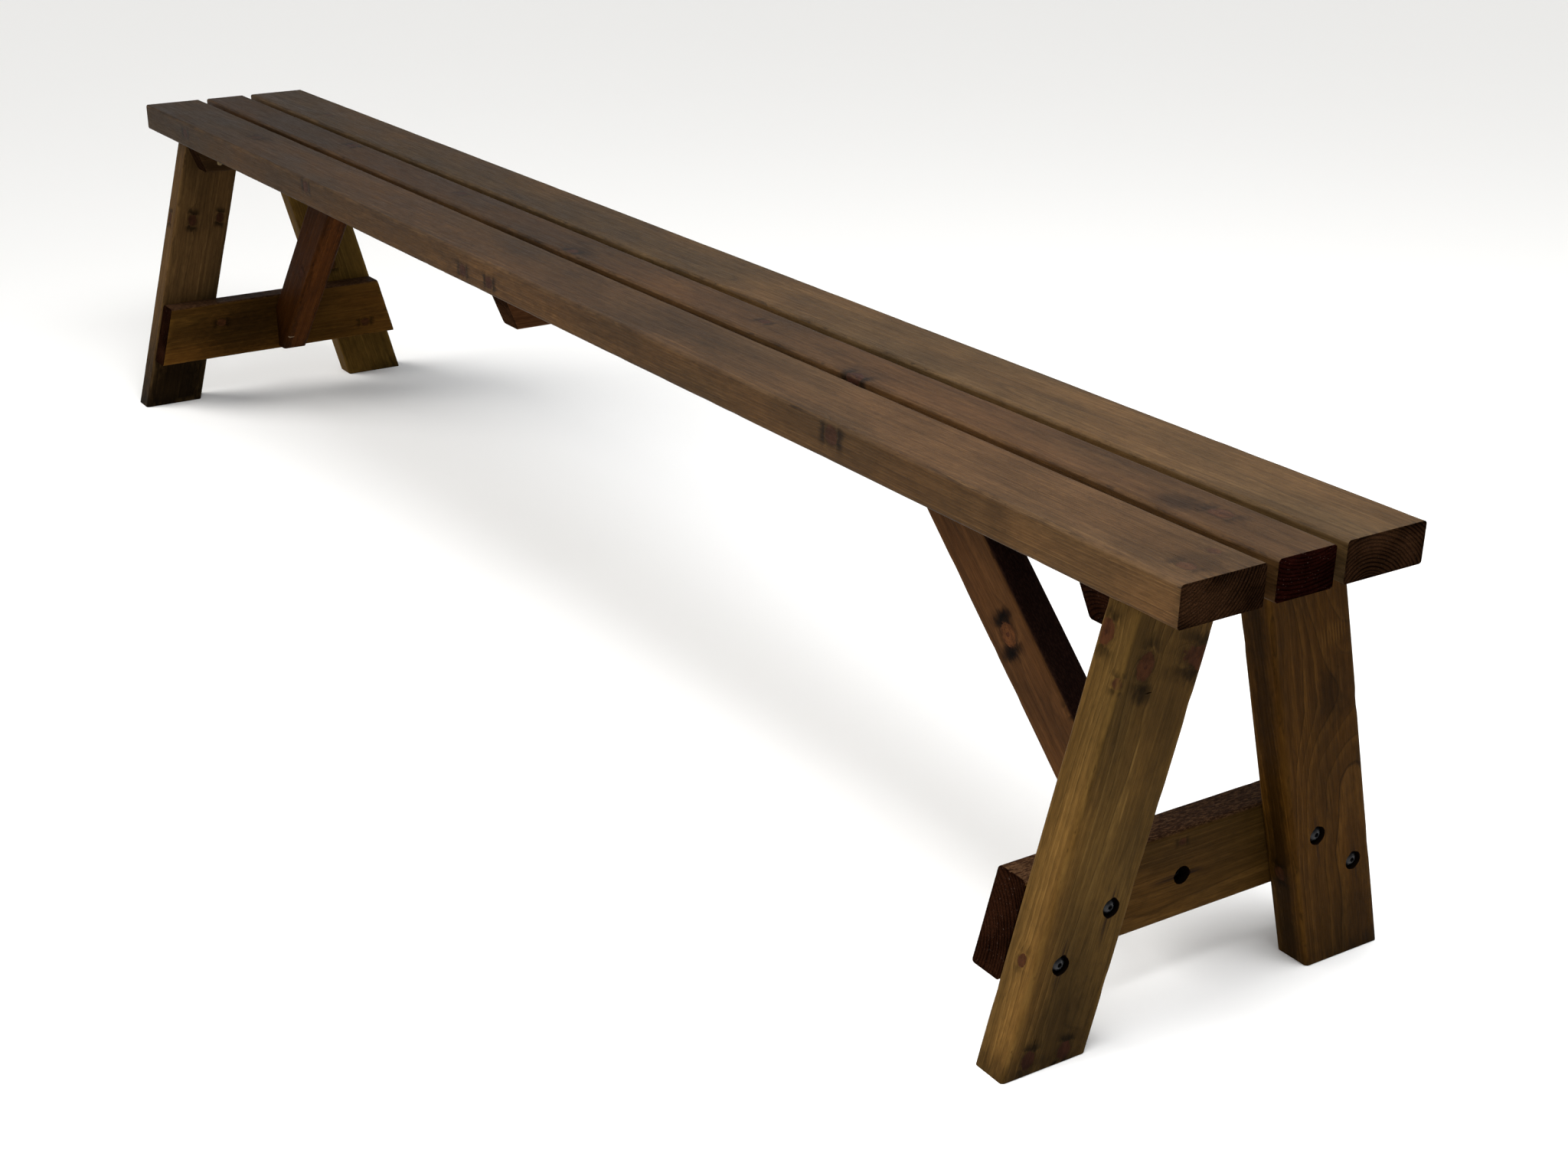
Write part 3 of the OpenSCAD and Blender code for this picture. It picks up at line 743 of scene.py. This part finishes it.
        inside &= self.reach(1, middle[:, 1], middle[:, 2]) - middle[:, 0] > SKIN
        if self.level_foot is not None:
            inside &= centres[:, 2] > self.level_foot + 0.5
        for point, direction in holes:
            away = centres - point
            across = away - np.outer(away @ direction, direction)
            wall = np.abs(normals @ direction) < 0.85
            inside |= (np.linalg.norm(across, axis=1) < MOUTH_REACH) & wall
        hole = mesh.attributes.new("hole", "FLOAT", "FACE")
        hole.data.foreach_set("value", inside.astype(float))
        mesh.polygons.foreach_set("material_index", (ends | inside).astype(np.int32))


def square_to(axis):
    """Two directions square to an axis and to each other."""
    side = vec(0, 0, 1) if abs(axis[2]) < 0.9 else vec(1, 0, 0)
    across = np.cross(side, axis)
    across /= np.linalg.norm(across)
    return across, np.cross(axis, across)


def turned(origin, direction, profile, sides=HOLE_SIDES, torn=None):
    """A closed cutter turned about a line.

    profile is (radius, distance along) pairs, starting and ending on the line. torn widens its
    first two rings by the angle.
    """
    axis = vec(*direction)
    across, up = square_to(axis)
    verts = [vec(*origin) + axis * profile[0][1]]
    for ring, (radius, along) in enumerate(profile[1:-1]):
        for i in range(sides):
            angle = 2 * math.pi * i / sides
            outward = across * math.cos(angle) + up * math.sin(angle)
            reach = radius * (1 + torn(angle)) if torn and ring < 2 else radius
            verts.append(vec(*origin) + axis * along + outward * reach)
    verts.append(vec(*origin) + axis * profile[-1][1])
    faces = []
    for i in range(sides):
        j = (i + 1) % sides
        faces.append((0, 1 + j, 1 + i))
        for ring in range(len(profile) - 3):
            a, b = 1 + ring * sides, 1 + (ring + 1) * sides
            faces.append((a + i, a + j, b + j, b + i))
        a = 1 + (len(profile) - 3) * sides
        faces.append((a + i, a + j, len(verts) - 1))
    return verts, faces


def split(board, u, v, w, length, opening, depth, turn):
    """A cutter for a drying split: a thin keel sunk into the face that w lies on.

    It is turned from the grain by turn degrees.
    """
    a = math.radians(turn)
    side = math.copysign(1, w)
    outline = [(length / 2, 0, 0.6), (0, opening / 2, 0.6), (-length / 2, 0, 0.6), (0, -opening / 2, 0.6),
               (length / 4, 0, -depth), (-length / 4, 0, -depth)]
    verts = []
    for along, across, lift in outline:
        du = along * math.cos(a) - across * math.sin(a)
        dv = along * math.sin(a) + across * math.cos(a)
        verts.append(board.origin + board.u * (u + du) + board.v * (v + dv) + board.w * (w + side * lift))
    faces = [(0, 1, 2, 3), (1, 0, 4), (1, 4, 5), (1, 5, 2), (3, 2, 5), (3, 5, 4), (3, 4, 0)]
    corners = [(np.array(verts)[list(f[:3])]) for f in faces]
    centre = np.mean(verts, 0)
    if sum(float((c[0] - centre) @ np.cross(c[1] - centre, c[2] - centre)) for c in corners) < 0:
        faces = [f[::-1] for f in faces]
    return verts, faces


# ---- the boards, placed from the CAD boxes ----

boards = {}
for name in SEAT_PLANKS:
    low, high = node_box(name)
    boards[name] = Board(name, (low + high) / 2, (1, 0, 0), (0, 1, 0), (0, 0, 1), high[1] - low[1],
                         high[2] - low[2], (low, (1, 0, 0)), (high, (1, 0, 0)))

for name in ("leg_right_front", "leg_right_back", "leg_left_front", "leg_left_back"):
    low, high = node_box(name)
    side = 1 if low[1] + high[1] > 0 else -1
    width = (high[1] - low[1] - (high[2] - low[2]) * math.tan(LEG_SPLAY)) * math.cos(LEG_SPLAY)
    outer = high[1] if side > 0 else low[1]
    foot_y = outer - side * width / 2 / math.cos(LEG_SPLAY)
    along = vec(0, -side * math.sin(LEG_SPLAY), math.cos(LEG_SPLAY))
    across = vec(0, math.cos(LEG_SPLAY), side * math.sin(LEG_SPLAY))
    boards[name] = Board(name, ((low[0] + high[0]) / 2, foot_y, 0), along, across, (1, 0, 0), width,
                         high[0] - low[0], ((0, 0, low[2]), (0, 0, 1)), ((0, 0, high[2]), (0, 0, 1)))

for name in ("bearer_right", "bearer_left", "batten_middle", "stretcher_right", "stretcher_left"):
    low, high = node_box(name)
    angle = LEG_SPLAY if "stretcher" in name else BEARER_END_ANGLE
    level = low[2] if "stretcher" in name else high[2]
    tilt = math.sin(angle) if "stretcher" in name else -math.sin(angle)
    boards[name] = Board(name, (low + high) / 2, (0, 1, 0), (0, 0, 1), (1, 0, 0), high[2] - low[2],
                         high[0] - low[0], ((0, low[1], level), (0, -math.cos(angle), tilt)),
                         ((0, high[1], level), (0, math.cos(angle), tilt)))

BOX_FACES = [(3, 2, 1, 0), (4, 5, 6, 7), (0, 1, 5, 4), (1, 2, 6, 5), (2, 3, 7, 6), (3, 0, 4, 7)]
for name, slope in BRACE_SLOPES.items():
    low, high = node_box(name)
    side = 1 if low[0] + high[0] > 0 else -1
    foot_x = high[0] if side > 0 else low[0]
    tip_x = low[0] if side > 0 else high[0]
    across = vec(side * math.sin(slope), 0, math.cos(slope))
    along = vec(-side * math.cos(slope), 0, math.sin(slope))
    tip = vec(tip_x, (low[1] + high[1]) / 2, high[2])
    start = tip + across * BRACE_DEPTH / 2
    start = start - along * (side * (foot_x - start[0]) / math.cos(slope))
    boards[name] = Board(name, start, along, across, (0, 1, 0), BRACE_DEPTH, high[1] - low[1],
                         ((foot_x, 0, 0), (1, 0, 0)), ((0, 0, high[2]), (0, 0, 1)))
    boards[name].level_foot = low[2]
    # A box that cuts the foot level, well wider than the brace.
    near, far = low[1] - 9, high[1] + 9
    corners = [(foot_x + x, y, z) for z in (low[2] - 90, low[2])
               for x, y in ((-90, near), (90, near), (90, far), (-90, far))]
    boards[name].cutters.append((corners, BOX_FACES))


def screw_line(box, axis, head_high):
    """Where the top of a screw's head is, and the way its shank points."""
    low, high = box
    point = (low + high) / 2
    point[axis] = high[axis] if head_high else low[axis]
    direction = vec(0, 0, 0)
    direction[axis] = -1 if head_high else 1
    return point, direction, high[axis] - low[axis]


def splintered(seed, grain_angle):
    """How far the mouth of a sunk hole is torn, by the angle round it."""
    def tear(angle):
        rough = 0.035 * float(smooth_noise(seed, [angle * 10], 2.0)[0])
        facing = math.cos(angle - grain_angle)
        return rough + (max(0.0, facing) ** 14 * 0.30 + max(0.0, -facing) ** 20 * 0.2)
    return tear


frame_holes = {}
for node in ("frame_screws_right_front", "frame_screws_right_back", "frame_screws_left_front",
             "frame_screws_left_back", "foot_screw_right", "foot_screw_left"):
    right = "right" in node
    end = "right" if right else "left"
    if node.startswith("foot"):
        targets, face = ["stretcher_" + end, "brace_" + end], boards["stretcher_" + end]
    else:
        targets = [node.replace("frame_screws", "leg"), "stretcher_" + end]
        face = boards[targets[0]]
    low, high = node_box(face.node)
    surface = high[0] if right else low[0]
    for index, box in enumerate(islands(node)):
        top, direction, length = screw_line(box, 0, right)
        mouth = abs(surface - top[0])
        above, wide = -mouth - OVERSHOOT, DOME_RADIUS + DOME_ROOM
        profile = [(0, above), (wide, above), (wide, DOME_HEIGHT),
                   (SHANK_RADIUS + SCREW_GAP, DOME_HEIGHT),
                   (SHANK_RADIUS + SCREW_GAP, length + SCREW_GAP), (0, length + SCREW_GAP)]
        frame_holes.setdefault(targets[0], []).append((top, direction))
        for target in targets:
            boards[target].cutters.append(turned(top, direction, profile))
        wide, bottom = DOME_RADIUS + TORN_ROOM, -mouth + TEAR_DEPTH
        profile = [(0, above), (wide, above), (wide, -mouth - 1), (DOME_RADIUS * 0.9, bottom), (0, bottom)]
        across, up = square_to(direction)
        grain_angle = math.atan2(float(face.u @ up), float(face.u @ across))
        torn = splintered(40 + index + 7 * len(node), grain_angle)
        boards[targets[0]].tears.append(turned(top, direction, profile, torn=torn))


def wood_screw_cutter(top, direction, length, pocket=0.0):
    """A countersunk hole, with a wider pocket below it where the head is sunk deep."""
    mouth = HEAD_SINK + 2 + pocket
    wide = HEAD_RADIUS + (1.0 if pocket else 0.0)
    profile = [(0, -mouth), (wide, -mouth), (wide, 0)]
    if pocket:
        profile.append((HEAD_RADIUS, 0))
    profile += [(WOOD_RADIUS + SCREW_GAP, HEAD_DEPTH), (WOOD_RADIUS + SCREW_GAP, length + SCREW_GAP),
                (0, length + SCREW_GAP)]
    return turned(top, direction, profile, WOOD_SCREW_SIDES)


def plank_over(y):
    """The seat plank that a screw at y goes into."""
    for name in SEAT_PLANKS:
        low, high = node_box(name)
        if low[1] <= y <= high[1]:
            return name


for node, target in (("seat_screws_right", "bearer_right"), ("seat_screws_left", "bearer_left"),
                     ("seat_screws_middle", "batten_middle")):
    for box in islands(node):
        top, direction, length = screw_line(box, 2, False)
        for board in (target, plank_over(top[1])):
            boards[board].cutters.append(wood_screw_cutter(top, direction, length))

for end in ("right", "left"):
    for box in islands("leg_top_screws_" + end):
        top, direction, length = screw_line(box, 0, end == "left")
        side = "front" if top[1] < 0 else "back"
        for board in ("bearer_" + end, "leg_" + end + "_" + side):
            boards[board].cutters.append(wood_screw_cutter(top, direction, length))
    for box in islands("brace_top_screw_" + end):
        top, direction, length = screw_line(box, 2, False)
        for board in ("brace_" + end, plank_over(top[1])):
            boards[board].cutters.append(wood_screw_cutter(top, direction, length, BRACE_POCKET))

# ---- looks of each board ----
# A knot is a point, a direction, a radius, and how dark its smudges and its core are, from 0 to 1.
# A curl is a point, a reach and a lift. A patch is a point, two lengths and a strength, and a strength
# below 0 lightens. Ribs end with their spacing, and a split with its length, opening, depth and turn.

# The seat's upper face gets a painted sky sheen, whose strength is set in this table.
SEAT = dict(early=(0.036, 0.018, 0.0065), late=(0.064, 0.035, 0.0132), ring=3.2, rough=0.46, sheen=0.025,
            painted_sheen=0.085, arris=0.55)
FRAME = dict(early=(0.045, 0.0232, 0.0054), late=(0.086, 0.048, 0.013), ring=4.0, rough=0.52, sheen=0.012)
DARK = dict(early=(0.029, 0.0135, 0.0034), late=(0.06, 0.0305, 0.0082), ring=4.0, rough=0.55, sheen=0.012)
RED = dict(early=(0.031, 0.0132, 0.0042), late=(0.062, 0.028, 0.0096), ring=3.6, rough=0.52, sheen=0.012)
# Painted shade: the seat planks darker towards the far end, where less light falls.
FAR_PAINTED_SHADE = (-1300, 0, 0, 1900, 1900, 0.32)
SPLINTERED = ((0.0092, 0.0032, 0.0015), (0.0016, 0.0006, 0.0004))

looks = {
    "seat_plank_front": dict(SEAT, knot=(0.034, 0.0155, 0.006), pith=(-52, 50), ring=2.9, contrast=0.6,
        lines=0.5,
        knots=[(-1019, -44, 2, 0.1, -1, 0.25, 7, 1.0, 0.9), (-531, -44, 8, -0.1, -1, 0.6, 7, 0.9, 0.8),
               (-41, -44, -4, 0.05, -1, 0.3, 7, 0.9, 0.9), (29, -44, -4, 0.0, -1, 0.2, 7, 1.0, 0.9),
               (735, -44, 7, 0.1, -1, 0.7, 8, 1.0, 0.7), (-845, 6, 19, 0, 0.1, 1, 8, 0.8, 0.5),
               (1172, -14, 19, 0.1, 0.1, 1, 7, 0.6, 0.25), (1160, 26, 19, 0.2, 0.3, 1, 5, 0.4, 0.3)],
        patches=[(1168, 0, 19, 36, 26, 0.35), (-845, 6, 19, 70, 26, 0.35), (979, -44, 0, 26, 24, 0.25),
                 # The patch at 1090 on the front face, with a strength below 0, is painted light: the near
                 # end is shown more brightly lit.
                 (1090, -44, 0, 190, 22, -0.42), (200, 0, 19, 620, 60, 0.22), FAR_PAINTED_SHADE],
        splits=[(1150, -6, 19, 26, 0.8, 3, 4), (-1160, 12, 19, 30, 0.8, 3, -3)]),
    "seat_plank_middle": dict(SEAT, knot=(0.034, 0.014, 0.0056), pith=(4, 66),
        early=(0.031, 0.0145, 0.0048), late=(0.056, 0.029, 0.01), specks=0.7,
        end=((0.0092, 0.0019, 0.0012), (0.0024, 0.0003, 0.0002)),
        knots=[(-712, 14, 19, 0.1, 0.1, 1, 8, 1.0, 0.9), (29, -20, 19, 0.1, -0.3, 1, 7, 1.0, 0.8),
               (413, 3, 19, 0, 0.1, 1, 6, 0.9, 0.7), (626, -31, 19, 0.1, -0.7, 1, 9, 1.0, 1.0),
               (1100, 2, 19, 0.05, 0.1, 1, 9, 0.7, 0.0), (-330, 8, 19, 0.1, 0.2, 1, 6, 0.8, 0.7)],
        patches=[(1064, -10, 19, 34, 26, 0.5), (626, -20, 19, 60, 30, 0.4), (29, -12, 19, 50, 22, 0.4),
                 FAR_PAINTED_SHADE],
        splits=[(1052, -16, 19, 24, 0.9, 3, 5), (1082, -8, 19, 14, 0.7, 2.5, -12)]),
    "seat_plank_back": dict(SEAT, pith=(-14, -34), ring=3.1, early=(0.042, 0.0225, 0.0078),
        late=(0.068, 0.0395, 0.015), contrast=0.4,
        patches=[FAR_PAINTED_SHADE],
        splits=[(1176, 20, 19, 34, 0.7, 3, 0)],
        knots=[(-959, -7, 19, 0, 0.1, 1, 6, 0.7, 0.6), (210, 42, 10, 0.1, 1, 0.2, 7, 0.8, 0.8)]),
    # The right front leg's pale arris is partly a painted highlight, through its stronger edge wear.
    "leg_right_front": dict(FRAME, pith=(22, -64), foot_dark=30, wear_and_highlight=0.75, lines=0.5,
        knot=(0.045, 0.016, 0.0052),
        knots=[(365, -20, 19, 0.45, -0.12, 1, 9.5, 0.75, 0.3),
               (349, -44, 17, 0.1, -0.7, 0.7, 4, 0.8, 0.9), (372, 50, 17, 0.1, 0.6, 1, 9, 0.9, 0.7),
               (10, -22, 19, 0.2, 0.1, 1, 7, 1.0, 0.9), (17, 17, 19, 0.2, 0.2, 1, 7, 1.0, 0.9),
               (97, -44, 2, 0.1, -1, 0.1, 5, 0.5, 0.6), (384, -46, -10, 0.1, -1, -0.3, 9, 0.8, 0.5)],
        patches=[(342, -14, 19, 14, 14, 0.6), (372, 38, 19, 30, 16, 0.55), (40, 0, 19, 80, 60, 0.38),
                 (400, 0, 19, 110, 60, 0.12), (215, 0, 19, 110, 60, -0.3), (200, -44, 0, 420, 20, -0.22)],
        splits=[(343, -8, 19, 10, 1.5, 3.5, 76), (28, -20, 19, 16, 1.0, 3, 4), (5, 10, 19, 12, 1.2, 3, 60)],
        pale=[(285, -5, 19, 24, 1.8), (244, -1, 19, 22, 1.5)]),
    "leg_right_back": dict(FRAME, early=(0.025, 0.0104, 0.0012), late=(0.049, 0.0225, 0.0038),
        pith=(26, -52), contrast=0.7, lines=0.55, foot_dark=24,
        curls=[(288, 20, 19, 78, 15), (372, -10, 19, 60, 8)],
        knots=[(120, 46, 6, 0.1, 1, 0.1, 6, 0.7, 0.7)],
        patches=[(286, 16, 19, 48, 26, 0.45), (60, 30, 19, 60, 20, 0.2), (216, -44, 0, 700, 10, 0.6),
                 (30, 0, 19, 60, 60, 0.2)],
        ribs=[(345, 22, 19, 15, 22, 3.4)]),
    "leg_left_front": dict(DARK, early=(0.035, 0.019, 0.0068), late=(0.07, 0.041, 0.015), pith=(-20, -44),
        foot_dark=26,
        patches=[(10, 0, 19, 180, 90, 0.84)],
        knots=[(298, -16, 19, 0.2, 0, 1, 7, 1.0, 0.9), (309, 28, 19, 0.2, 0.1, 1, 6, 1.0, 0.9),
               (294, -44, -4, 0.1, -1, 0.1, 6, 0.9, 0.9)]),
    "leg_left_back": dict(DARK, early=(0.047, 0.025, 0.005), late=(0.096, 0.056, 0.012), pith=(30, 60),
        foot_dark=22,
        knots=[(210, -8, -19, 0.2, 0.1, -1, 7, 0.9, 0.8)]),
    "bearer_right": dict(DARK, pith=(-40, 14), end=SPLINTERED),
    "bearer_left": dict(DARK, pith=(38, 24), early=(0.019, 0.0095, 0.0034), late=(0.038, 0.0195, 0.0072)),
    "batten_middle": dict(DARK, pith=(-44, -16), early=(0.034, 0.0135, 0.005), late=(0.066, 0.029, 0.011)),
    "stretcher_right": dict(FRAME, early=(0.031, 0.015, 0.003), late=(0.06, 0.031, 0.0074),
        pith=(-30, -58), sawn=44, end=SPLINTERED,
        knots=[(-3, 33, 19, 0.1, 0.2, 1, 3.5, 0.7, 0.8), (148, -10, -19, 0.1, 0.1, -1, 7, 0.8, 0.8)]),
    "stretcher_left": dict(DARK, early=(0.04, 0.0165, 0.0028), late=(0.078, 0.037, 0.0066),
        pith=(24, -60), sawn=44, end=SPLINTERED,
        patches=[(-70, -10, 19, 100, 60, 0.5)],
        knots=[(150, -22, 19, 0.3, 0.1, 1, 6, 0.8, 0.8), (-90, 20, -19, 0.2, 0.2, -1, 6, 0.8, 0.8)]),
    "brace_right": dict(RED, pith=(14, 58), sawn=31,
        # The right brace's upper face gets near-black sawn colours: painted shade under the seat.
        sawn_and_shade_colours=((0.0075, 0.003, 0.0022), (0.017, 0.0075, 0.005)),
        knots=[(266, 0, -19, 0.2, 0.1, -1, 10, 1.0, 0.0), (172, 31, -15, 0.1, 1, -0.5, 4, 1.0, 0.9)],
        patches=[(280, 4, -19, 15, 20, 0.85), (252, -10, -19, 13, 18, 0.88)]),
    "brace_left": dict(RED, early=(0.0125, 0.0036, 0.0005), late=(0.025, 0.0088, 0.0015), pith=(-26, 50),
        chips=[(34, -31, -15, 1.5, 2.6, 8)],
        patches=[(150, -31, 0, 330, 14, -1.7)],
        knots=[(180, -10, -19, 0.2, 0.1, -1, 6, 0.7, 0.7)]),
}

record_slots = {s["node"]: s["material_slot"] for s in frame["record"]["subparts"]}
for number, (name, board) in enumerate(boards.items()):
    spec = dict(looks[name])
    marks = []
    for top, direction in frame_holes.get(name, ()):
        place = board.local(top[None])[0]
        face_w = math.copysign(board.thickness / 2, place[2])
        marks.append((place[0] - 11, place[1], face_w, 34, 6))
        marks.append((place[0] + 9, place[1], face_w, 22, 5))
    spec["stains"] = marks
    board.tears += [split(board, *crack) for crack in spec.get("splits", ())]
    piece = board.build(100 + 17 * number, spec, frame_holes.get(name, ()))
    kept = np.empty(len(piece.data.polygons), np.int32)
    piece.data.polygons.foreach_get("material_index", kept)
    piece.data.materials.clear()
    piece.data.materials.append(wood("wood_" + name, spec, 500 + number))
    piece.data.materials.append(cut_wood("cut_wood_" + name, spec, 500 + number))
    piece.data.polygons.foreach_set("material_index", kept)
    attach(piece, "root")
    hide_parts(name)

black, plated = black_screw(), plated_screw()
for name, slot in record_slots.items():
    if name not in boards:
        screw = node_object(name)
        for own in screw.material_slots:
            own.material = black if slot == "black_screws" else plated

# ---- floor, light and camera ----

floor_mesh = bpy.data.meshes.new("floor")
floor_corners = [(x * FLOOR_REACH, y * FLOOR_REACH, 0) for x, y in ((-1, -1), (1, -1), (1, 1), (-1, 1))]
floor_mesh.from_pydata(floor_corners, [], [(0, 1, 2, 3)])
floor = placed("floor", floor_mesh)
pale = Tree("pale_floor")
pale.feed("Base Color", (0.92, 0.92, 0.915))
pale.feed("Roughness", 0.9)
pale.feed("Specular IOR Level", 0.1)
floor_mesh.materials.append(pale.material)

world = bpy.data.worlds.new("studio")
bpy.context.scene.world = world
world.use_nodes = True
background = world.node_tree.nodes["Background"]
background.inputs[0].default_value = (0.96, 0.98, 1.0, 1)
# A pale band round the horizon, softer overhead.
sky_place = world.node_tree.nodes.new("ShaderNodeTexCoord")
sky_height = world.node_tree.nodes.new("ShaderNodeSeparateXYZ")
sky_level = world.node_tree.nodes.new("ShaderNodeMapRange")
world.node_tree.links.new(sky_place.outputs["Generated"], sky_height.inputs[0])
world.node_tree.links.new(sky_height.outputs["Z"], sky_level.inputs["Value"])
world.node_tree.links.new(sky_level.outputs["Result"], background.inputs[1])
for socket, value in (("From Min", 0.08), ("From Max", 0.34), ("To Min", 0.88), ("To Max", 0.24)):
    sky_level.inputs[socket].default_value = value


# A soft distant key light, seen from the front left. Azimuth 0 is from -Y and grows towards +X.
azimuth, height = math.radians(-28), math.radians(37)
key_data = bpy.data.lights.new("key", "SUN")
key_data.energy, key_data.angle, key_data.color = 3.3, math.radians(50), (1.0, 0.98, 0.95)
key = placed("key", key_data)
flat = math.cos(height)
towards = Vector((math.sin(azimuth) * flat, -math.cos(azimuth) * flat, math.sin(height)))
key.rotation_euler = towards.to_track_quat("Z", "Y").to_euler()

top_data = bpy.data.lights.new("overhead", "AREA")
top_data.shape, top_data.size, top_data.energy = "DISK", 1.8, 98
top = placed("overhead", top_data)
top.location = (1.5, -0.2, 2.6)

camera_data = bpy.data.cameras.new("camera")
camera_data.lens = CAMERA_LENS
camera_data.sensor_width = 36
camera_data.shift_x, camera_data.shift_y = CAMERA_SHIFT
camera_data.clip_end = 400
camera = placed("camera", camera_data)
camera.location = CAMERA_PLACE
camera.rotation_euler = [math.radians(a) for a in CAMERA_TURN]
bpy.context.scene.camera = camera
bpy.context.scene.view_settings.view_transform = "Standard"
